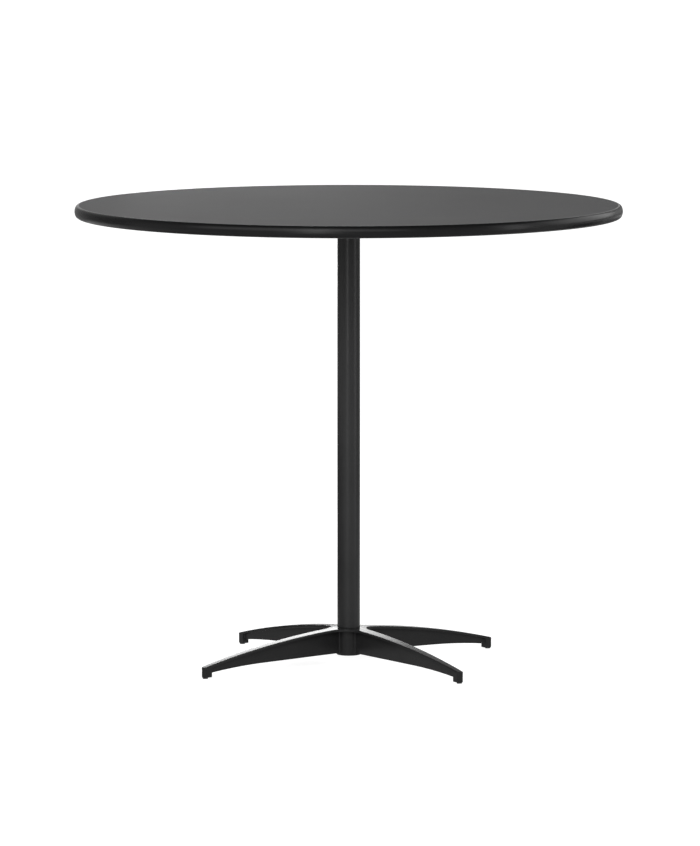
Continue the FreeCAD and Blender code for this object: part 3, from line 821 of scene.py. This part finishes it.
class TABLE_OT_tie_rod(bpy.types.Operator):
    """Tie rod with its thread, its two nuts, and the flat and split washers in the hub"""

    bl_idname = "pedestal_table.tie_rod"
    bl_label = "Tie rod"

    def nut(self, sizes, low, high):
        """A hexagon, flats / 2 / cos over the turn, cut by a cone at both ends, and its bore."""
        angles = round_angles("nut")
        tall, bore, bevel = high - low, sizes.nut_bore, sizes.nut_bevel
        hexagon = sizes.nut_flats / 2 / np.cos(angles % (math.pi / 3) - math.pi / 6)
        end = np.linspace(0, NUT_CONE, NUT_CONE_ROWS)
        side = np.linspace(NUT_SIDE, tall - NUT_SIDE, NUT_SIDE_ROWS)
        rise = np.concatenate([end, side, tall - end[::-1]])
        cone = sizes.nut_flats / 2 * NUT_FACE + np.minimum(rise, tall - rise) * NUT_CONE_SLOPE
        outside = np.minimum(hexagon[None, :], cone[:, None])
        inside = np.array([bore + bevel, bore, bore, bore + bevel])
        radius = np.vstack([outside, inside[:, None] + 0 * angles])
        height = low + np.concatenate([rise, [tall, tall - bevel, bevel, 0]])
        return swept(radius, height[:, None], angles)

    def split_washer(self, sizes, low, high, outside):
        """A section carried from one side of a gap round to the other, and closed at its ends.

        The turn shifts with height, so that the cut is slanted.
        """
        section = eased(rectangle(sizes.washer_bore, outside, low, high), sizes.washer_ease)
        radius, height = section[:, :1], section[:, 1:]
        gap = sizes.lock_gap / outside
        angles = np.linspace(gap / 2, FULL_TURN - gap / 2, ROUND_STEPS["washer"] + 1)
        slant = (height - (low + high) / 2) / outside * SPLIT_SLANT
        grid = swept(radius, height, angles[None, :] + slant)
        caps = [np.repeat(grid[:, end].mean(0)[None], len(section), axis=0) for end in (0, -1)]
        return np.concatenate([caps[0][:, None], grid, caps[1][:, None]], axis=1)

    def execute(self, context):
        sizes, colours = context.scene.table_sizes, context.scene.table_colours
        zinc = zinc_finish(colours)
        low, high = (corner.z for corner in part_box("tie_rod"))
        rod = threaded(
            sizes.rod_radius,
            sizes.rod_thread,
            sizes.rod_pitch,
            low,
            high,
            round_angles("rod"),
            rows=ROD_THREAD_ROWS,
        )
        mesh = surface("rod", [rod], closed_rows=False)
        piece("rod", mesh, "table", zinc, ["tie_rod"])
        for node in ("hub_nut", "rod_anchor_nut"):
            low, high = (corner.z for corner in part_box(node))
            mesh = surface(node, [self.nut(sizes, low, high)])
            piece(f"{node}_hexagon", mesh, "table", zinc, [node])
        low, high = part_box("hub_washer")
        corners = rectangle(sizes.washer_bore, high.x, low.z, high.z)
        grid = turned(eased(corners, sizes.washer_ease), round_angles("washer"))
        mesh = surface("flat_washer", [grid])
        piece("flat_washer", mesh, "table", zinc, ["hub_washer"])
        low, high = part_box("hub_lock_washer")
        grid = self.split_washer(sizes, low.z, high.z, high.x)
        mesh = surface("split_washer", [grid], closed_columns=False)
        piece("split_washer", mesh, "table", zinc, ["hub_lock_washer"])
        return {"FINISHED"}


class TABLE_OT_glides(bpy.types.Operator):
    """Four levelling glides, each a threaded stem in a nylon pad"""

    bl_idname = "pedestal_table.glides"
    bl_label = "Glides"

    def pad(self, sizes, axis, low, top):
        """A profile carried round an axis: a disc with a rounded sole and a seat for the stem."""
        edge, bore, seat = sizes.pad_radius, sizes.stem_radius, top - sizes.pad_recess
        corners = [(0, low), (edge, low), (edge, top), (bore, top), (bore, seat), (0, seat)]
        profile = eased(corners, (0, sizes.pad_ease, sizes.pad_rim_ease, 0, 0, 0))
        return turned(profile, round_angles("pad"), axis)

    def execute(self, context):
        sizes, colours = context.scene.table_sizes, context.scene.table_colours
        nylon, zinc = nylon_finish(colours), zinc_finish(colours)
        for foot in FEET:
            low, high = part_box(f"{foot}_glide_pad")
            axis = ((low.x + high.x) / 2, (low.y + high.y) / 2)
            piece(
                f"{foot}_pad",
                surface(f"{foot}_pad", [self.pad(sizes, axis, low.z, high.z)]),
                f"{foot}_glide",
                nylon,
                [f"{foot}_glide_pad"],
            )
            stem = threaded(
                sizes.stem_radius,
                sizes.stem_thread,
                sizes.stem_pitch,
                high.z - sizes.pad_recess,
                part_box(f"{foot}_glide_stem")[1].z,
                round_angles("stem"),
                axis,
            )
            piece(
                f"{foot}_stem",
                surface(f"{foot}_stem", [stem], closed_rows=False),
                f"{foot}_glide",
                zinc,
                [f"{foot}_glide_stem"],
            )
        return {"FINISHED"}


class TABLE_OT_stage(bpy.types.Operator):
    """Pale floor, soft studio light and the camera"""

    bl_idname = "pedestal_table.stage"
    bl_label = "Stage"

    def seen(self, stage, right, away, up):
        """A place given as the camera sees it: right of the table's axis, behind it and up."""
        cos, sin = math.cos(stage.camera_turn), math.sin(stage.camera_turn)
        return Vector((right * cos - away * sin, right * sin + away * cos, up))

    def floor(self, stage):
        """A wide disc, clear from below.

        For the camera, reflections and glass its white is part glow, all of it far from the table.
        """
        angles = round_angles("floor")
        grid = turned([(radius, 0.0) for radius in FLOOR_RINGS], angles)
        faces = grid_faces(len(FLOOR_RINGS), len(angles), False, True)[:, ::-1]
        mesh = bpy.data.meshes.new("floor")
        mesh.from_pydata(grid.reshape(-1, 3), [], faces)
        made = new_object("floor", mesh)
        material, tree = new_material("pale_floor")
        tree.nodes.clear()
        matte = add(tree, "ShaderNodeBsdfDiffuse", Color=(*stage.floor, 1.0))
        glow = add(tree, "ShaderNodeEmission", Color=(1, 1, 1, 1))
        place = tree.nodes.new("ShaderNodeTexCoord")
        reach = tree.nodes.new("ShaderNodeVectorMath")
        reach.operation = "LENGTH"
        fade = add_span(tree, stage.floor_white, 1.0, *FLOOR_FADE)
        both = tree.nodes.new("ShaderNodeAddShader")
        path = tree.nodes.new("ShaderNodeLightPath")
        seen, shown = add_math(tree, "MAXIMUM"), add_math(tree, "MAXIMUM")
        choice = tree.nodes.new("ShaderNodeMixShader")
        side = tree.nodes.new("ShaderNodeNewGeometry")
        clear = tree.nodes.new("ShaderNodeBsdfTransparent")
        through = tree.nodes.new("ShaderNodeMixShader")
        result = tree.nodes.new("ShaderNodeOutputMaterial")
        link(
            tree,
            (place, "Object", reach, 0),
            (reach, "Value", fade, "Value"),
            (fade, "Result", glow, "Strength"),
            (path, "Is Camera Ray", seen, 0),
            (path, "Is Glossy Ray", seen, 1),
            (seen, 0, shown, 0),
            (path, "Is Transmission Ray", shown, 1),
            (matte, 0, both, 0),
            (glow, 0, both, 1),
            (shown, 0, choice, 0),
            (matte, 0, choice, 1),
            (both, 0, choice, 2),
            (side, "Backfacing", through, 0),
            (choice, 0, through, 1),
            (clear, 0, through, 2),
            (through, 0, result, "Surface"),
        )
        mesh.materials.append(material)

    def sky(self, stage):
        """Studio round the stage: its level falls from the horizon to the ceiling."""
        world = bpy.data.worlds.new("studio")
        bpy.context.scene.world = world
        world.use_nodes = True
        tree = world.node_tree
        place = tree.nodes.new("ShaderNodeTexCoord")
        parts = tree.nodes.new("ShaderNodeSeparateXYZ")
        tone = add_ramp(tree, (stage.sky_low,) * 3, (stage.sky_high,) * 3, 0.0, SKY_TOP)
        link(
            tree,
            (place, "Generated", parts, 0),
            (parts, "Z", tone, "Fac"),
            (tone, "Color", tree.nodes["Background"], "Color"),
        )

    def lamp(self, stage, name, box):
        """A soft box turned to its aim; its power follows from its brightness."""
        data = bpy.data.lights.new(name, "AREA")
        data.shape = "RECTANGLE"
        data.size, data.size_y = box.width, box.tall
        brightness = box.part * getattr(stage, box.level)
        data.energy = brightness * math.pi * box.width * box.tall
        made = new_object(name, data)
        made.location = self.seen(stage, *box.place)
        toward = self.seen(stage, *box.aim) - made.location
        made.rotation_mode = "QUATERNION"
        made.rotation_quaternion = toward.to_track_quat("-Z", "Y")
        made.visible_camera = False

    def shade(self, stage, name, card):
        """A grey upright card, seen only in reflections."""
        heights = (card.bottom, card.top)
        corners = [self.seen(stage, *spot, height) for height in heights for spot in card.path]
        mesh = bpy.data.meshes.new(name)
        mesh.from_pydata(corners, [], grid_faces(len(heights), len(card.path), False, False))
        made = new_object(name, mesh)
        material, tree = new_material(name)
        fill(tree.nodes["Principled BSDF"], {"Base Color": (card.tone,) * 3 + (1.0,)})
        mesh.materials.append(material)
        made.visible_camera = made.visible_diffuse = False
        made.visible_shadow = made.visible_transmission = False

    def camera(self, stage):
        """The photograph's view: a long lens from the front, a little to the right and above."""
        data = bpy.data.cameras.new("view")
        data.sensor_width = SENSOR
        data.lens = stage.lens
        data.clip_start, data.clip_end = CLIP
        made = new_object("view", data)
        made.location = self.seen(stage, 0.0, -stage.camera_distance, stage.camera_height)
        made.rotation_euler = (
            math.pi / 2 - stage.camera_pitch,
            0.0,
            stage.camera_turn - stage.camera_swing,
        )
        bpy.context.scene.camera = made

    def execute(self, context):
        stage = context.scene.table_stage
        context.scene.view_settings.view_transform = "Standard"
        self.floor(stage)
        self.sky(stage)
        for name, box in LAMPS.items():
            self.lamp(stage, name, box)
        for name, card in CARDS.items():
            self.shade(stage, name, card)
        self.camera(stage)
        return {"FINISHED"}


class TABLE_PT_panel(bpy.types.Panel):
    """Pieces of the table and their settings"""

    bl_idname = "TABLE_PT_panel"
    bl_label = "Pedestal table"
    bl_space_type = "VIEW_3D"
    bl_region_type = "UI"
    bl_category = "Table"

    def draw(self, context):
        scene = context.scene
        for operator in OPERATORS:
            self.layout.operator(operator.bl_idname)
        for settings in (scene.table_sizes, scene.table_colours, scene.table_stage):
            column = self.layout.column(align=True)
            for name in settings.__annotations__:
                column.prop(settings, name)


OPERATORS = (
    TABLE_OT_top,
    TABLE_OT_edge_strip,
    TABLE_OT_column,
    TABLE_OT_base,
    TABLE_OT_plate,
    TABLE_OT_tie_rod,
    TABLE_OT_glides,
    TABLE_OT_stage,
)
CLASSES = (TableSizes, TableColours, TableStage, *OPERATORS, TABLE_PT_panel)


def register():
    """Make the settings, operators and panel known."""
    for item in CLASSES:
        bpy.utils.register_class(item)
    bpy.types.Scene.table_sizes = PointerProperty(type=TableSizes)
    bpy.types.Scene.table_colours = PointerProperty(type=TableColours)
    bpy.types.Scene.table_stage = PointerProperty(type=TableStage)


def unregister():
    """Take them away again."""
    for name in ("table_sizes", "table_colours", "table_stage"):
        delattr(bpy.types.Scene, name)
    for item in reversed(CLASSES):
        bpy.utils.unregister_class(item)


def main():
    """Build every piece, then the stage."""
    register()
    bpy.ops.pedestal_table.top()
    bpy.ops.pedestal_table.edge_strip()
    bpy.ops.pedestal_table.column()
    bpy.ops.pedestal_table.base()
    bpy.ops.pedestal_table.plate()
    bpy.ops.pedestal_table.tie_rod()
    bpy.ops.pedestal_table.glides()
    bpy.ops.pedestal_table.stage()


if __name__ == "__main__":
    main()
